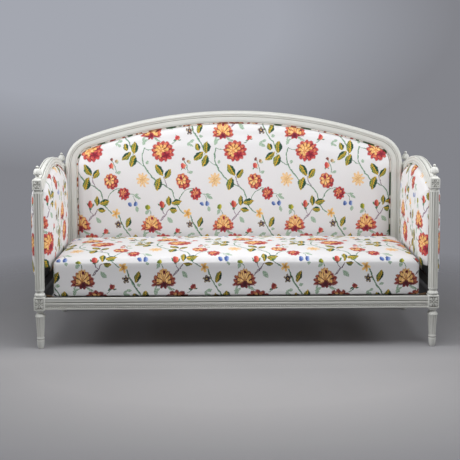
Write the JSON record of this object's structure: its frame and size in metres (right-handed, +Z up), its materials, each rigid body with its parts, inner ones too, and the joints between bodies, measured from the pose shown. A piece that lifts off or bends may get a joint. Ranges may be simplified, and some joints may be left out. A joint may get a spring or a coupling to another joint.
{
  "type": "upholstered sofa",
  "caption": "Painted wood sofa with turned legs and finials, equal arched arms, arched padded back and a loose box cushion on slats.",
  "frame": {"origin": "on the floor under the middle of the sofa, at the bottom centre of its box", "axes": "+X along the length to the sitter's left (the viewer's right), +Y from the front to the back, +Z up"},
  "size_m": [2.1166, 0.8368, 1.176],
  "materials": {
    "painted_wood": "pale warm grey paint, satin, lightly worn on the edges",
    "cover_fabric": "woven cotton cover with a floral trail on a white ground, matt",
    "piping_fabric": "piping in the same cotton cover, matt",
    "core_board": "thin backing board behind the padding",
    "plain_wood": "unpainted pine, planed",
    "screw_steel": "plain steel, dull"
  },
  "bodies": {
    "root": {"post_front_left": "painted_wood", "post_front_right": "painted_wood", "post_rear_left": "painted_wood", "post_rear_right": "painted_wood", "finial_front_left": "painted_wood", "finial_front_right": "painted_wood", "finial_rear_left": "painted_wood", "finial_rear_right": "painted_wood", "front_rail": "painted_wood", "rear_rail": "painted_wood", "side_rail_left": "painted_wood", "side_rail_right": "painted_wood", "arm_top_rail_left": "painted_wood", "arm_top_rail_right": "painted_wood", "arm_bottom_rail_left": "painted_wood", "arm_bottom_rail_right": "painted_wood", "back_crest_rail": "painted_wood", "back_stile_left": "painted_wood", "back_stile_right": "painted_wood", "back_bottom_rail": "painted_wood", "arm_inner_pad_left": "cover_fabric", "arm_inner_pad_right": "cover_fabric", "arm_outer_pad_left": "cover_fabric", "arm_outer_pad_right": "cover_fabric", "back_pad": "cover_fabric", "back_outer_pad": "cover_fabric", "seat_cushion": "cover_fabric", "arm_inner_piping_left": "piping_fabric", "arm_inner_piping_right": "piping_fabric", "arm_outer_piping_left": "piping_fabric", "arm_outer_piping_right": "piping_fabric", "back_piping": "piping_fabric", "back_outer_piping": "piping_fabric", "arm_core_board_left": "core_board", "arm_core_board_right": "core_board", "back_core_board": "core_board", "seat_cleat_front": "plain_wood", "seat_cleat_rear": "plain_wood", "seat_slat_01": "plain_wood", "seat_slat_02": "plain_wood", "seat_slat_03": "plain_wood", "seat_slat_04": "plain_wood", "seat_slat_05": "plain_wood", "seat_slat_06": "plain_wood", "seat_slat_07": "plain_wood", "seat_slat_08": "plain_wood", "seat_slat_09": "plain_wood", "seat_slat_10": "plain_wood", "corner_brace_front_left": "plain_wood", "corner_brace_front_right": "plain_wood", "corner_brace_rear_left": "plain_wood", "corner_brace_rear_right": "plain_wood", "back_dowel_left": "plain_wood", "back_dowel_right": "plain_wood", "back_screw_1": "screw_steel", "back_screw_2": "screw_steel", "back_screw_3": "screw_steel"}
  },
  "joints": []
}
